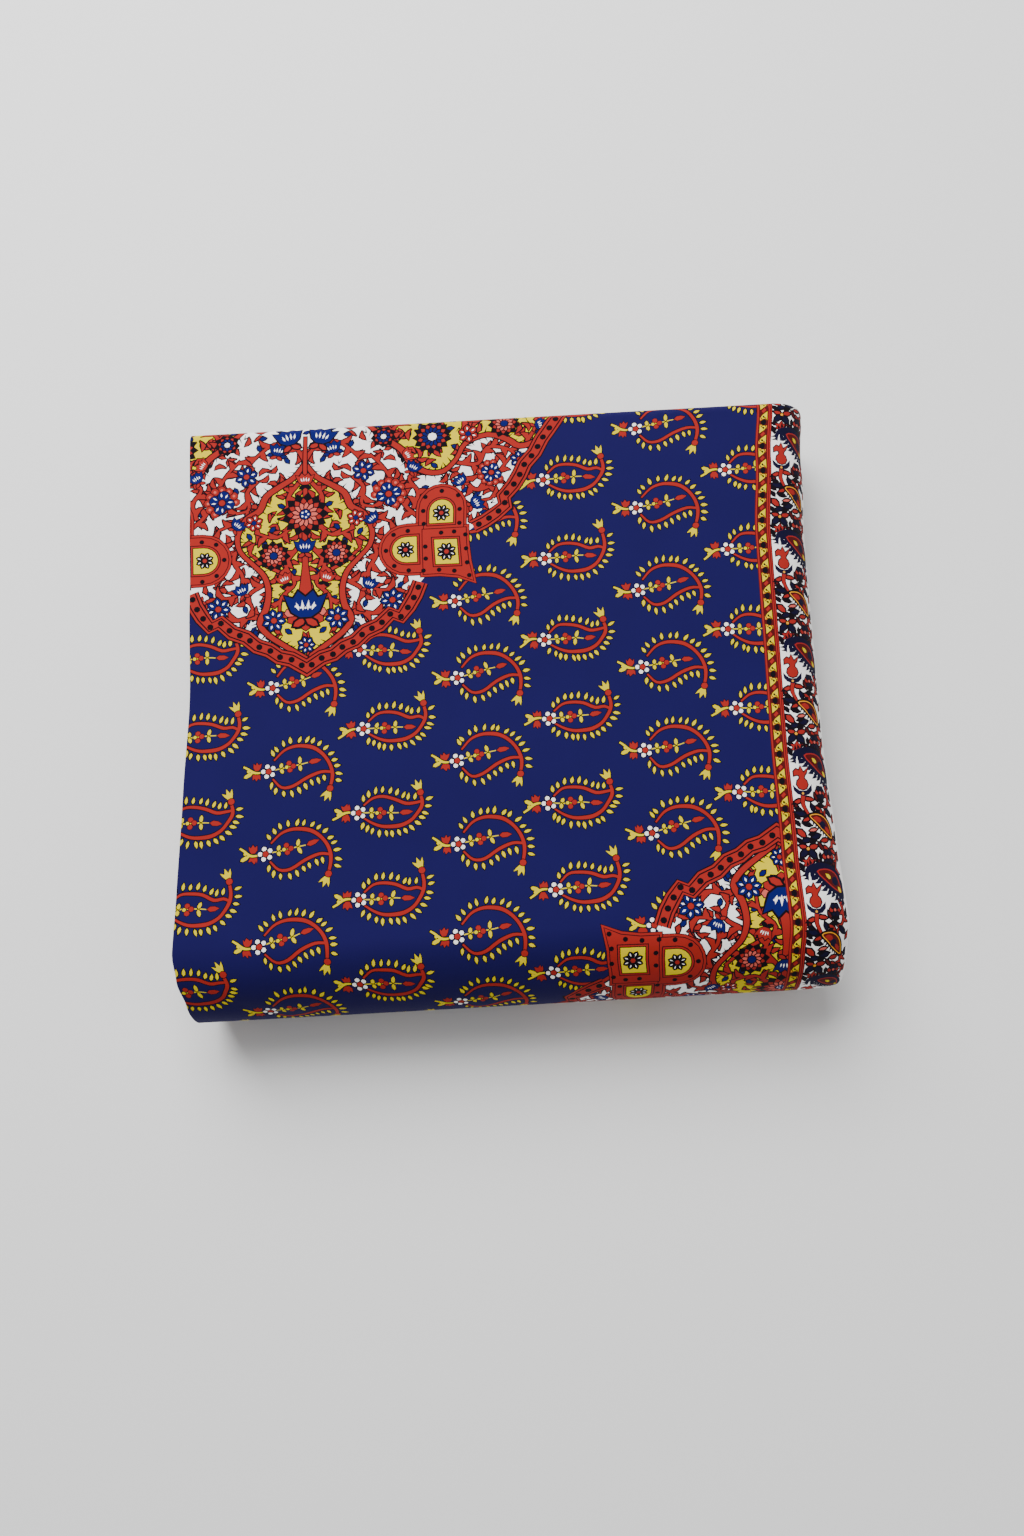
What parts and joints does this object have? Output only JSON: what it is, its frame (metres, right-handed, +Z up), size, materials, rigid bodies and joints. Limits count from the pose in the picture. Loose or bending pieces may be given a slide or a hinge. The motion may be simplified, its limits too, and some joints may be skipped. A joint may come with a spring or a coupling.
{
  "type": "folded ankara fabric",
  "caption": "Length of printed ankara cotton folded into a soft flat bundle, with a round front fold, layered edges and a printed border along its selvedge.",
  "frame": {"origin": "middle of the underside of the bundle, on the surface that it lies on", "axes": "+Z up through the leaves, +X to the right towards the border and selvedge, +Y to the back; the round fold is at -Y"},
  "size_m": [0.2982, 0.2782, 0.06],
  "materials": {
    "printed_cotton": "printed cotton with a soft sheen",
    "folded_edges": "printed cotton, seen on its folds and selvedges"
  },
  "bodies": {
    "root": {"outer_stretch": "printed_cotton", "inner_layers": "folded_edges"}
  },
  "joints": []
}
